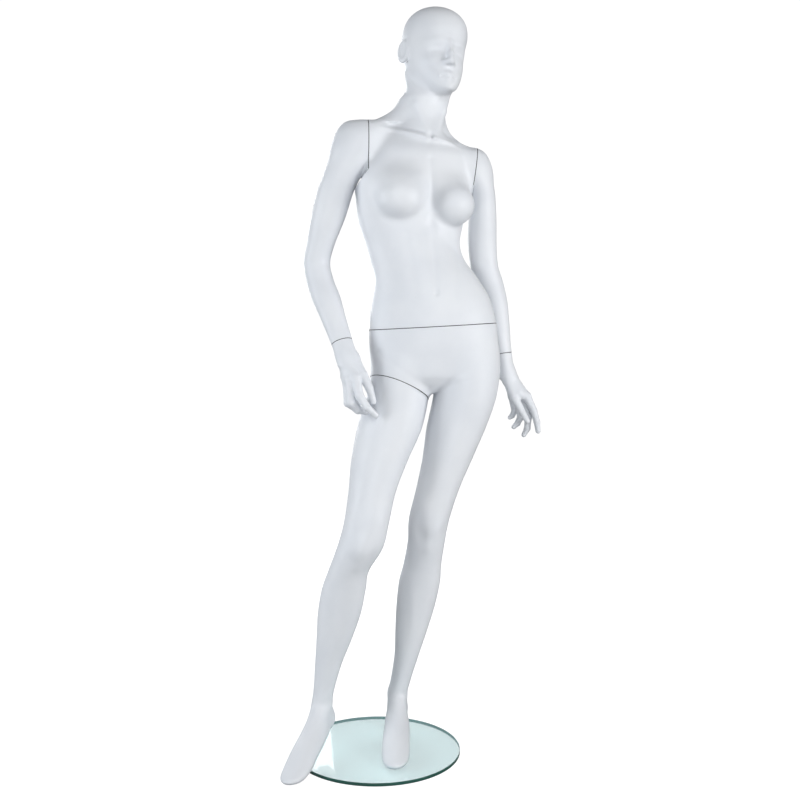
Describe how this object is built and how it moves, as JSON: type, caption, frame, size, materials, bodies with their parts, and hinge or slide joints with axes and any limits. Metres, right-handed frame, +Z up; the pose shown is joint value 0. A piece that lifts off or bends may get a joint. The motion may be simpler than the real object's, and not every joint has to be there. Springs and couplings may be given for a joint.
{
  "type": "full body display mannequin",
  "caption": "Standing female full body display mannequin with a parted waist, thigh, shoulders and wrists, held by a calf rod on a round glass base.",
  "frame": {"origin": "middle of the round glass base's underside, on the floor", "axes": "+Z up; the figure faces -Y; its left hand is on the +X side"},
  "size_m": [0.6157, 0.4031, 1.8071],
  "materials": {
    "shell": "satin",
    "glass": "gloss",
    "steel": "satin",
    "rod_steel": "polished",
    "fastener": "satin",
    "gasket": "matte"
  },
  "bodies": {
    "base": {"glass_base": "glass", "flange_gasket": "gasket", "base_flange": "steel", "base_bolt": "fastener", "support_rod": "rod_steel", "flange_grub_screw": "fastener"},
    "lower_body": {"hips_left_leg": "shell", "calf_socket": "steel", "calf_grub_screw": "fastener", "waist_socket": "steel", "waist_socket_screws": "fastener", "thigh_socket": "steel", "thigh_socket_screws": "fastener", "right_leg": "shell", "thigh_peg": "steel", "thigh_peg_screws": "fastener"},
    "torso": {"torso_head": "shell", "waist_peg": "steel", "waist_peg_screws": "fastener", "right_shoulder_socket": "steel", "left_shoulder_socket": "steel", "shoulder_socket_screws": "fastener"},
    "right_arm": {"right_arm": "shell", "right_shoulder_peg": "steel", "right_arm_screws": "fastener", "right_wrist_socket": "steel"},
    "right_hand": {"right_hand": "shell", "right_wrist_peg": "steel", "right_wrist_peg_screws": "fastener"},
    "left_arm": {"left_arm": "shell", "left_shoulder_peg": "steel", "left_arm_screws": "fastener", "left_wrist_socket": "steel"},
    "left_hand": {"left_hand": "shell", "left_wrist_peg": "steel", "left_wrist_peg_screws": "fastener"}
  },
  "joints": [
    {"name": "figure_lift", "type": "slide", "parent": "base", "child": "lower_body", "axis": [0.0864, -0.1576, 0.9837], "range_m": [0, 0.11]},
    {"name": "waist_turn", "type": "hinge", "parent": "lower_body", "child": "torso", "pos_m": [0.133, 0, 1.024], "axis": [-0.0549, -0.0299, 0.998], "range_deg": [0, 90]},
    {"name": "right_shoulder_turn", "type": "hinge", "parent": "torso", "child": "right_arm", "pos_m": [-0.022, 0, 1.455], "axis": [-0.996, -0.0896, 0], "range_deg": [0, 90]},
    {"name": "left_shoulder_turn", "type": "hinge", "parent": "torso", "child": "left_arm", "pos_m": [0.24, 0.08, 1.418], "axis": [0.9912, 0.0297, -0.1289], "range_deg": [0, 90]},
    {"name": "right_wrist_turn", "type": "hinge", "parent": "right_arm", "child": "right_hand", "pos_m": [-0.081, -0.053, 0.985], "axis": [0.3364, -0.4034, -0.8509], "range_deg": [-90, 0]},
    {"name": "left_wrist_turn", "type": "hinge", "parent": "left_arm", "child": "left_hand", "pos_m": [0.3145, 0.088, 0.959], "axis": [0.1482, -0.0494, -0.9877], "range_deg": [-90, 90]}
  ]
}
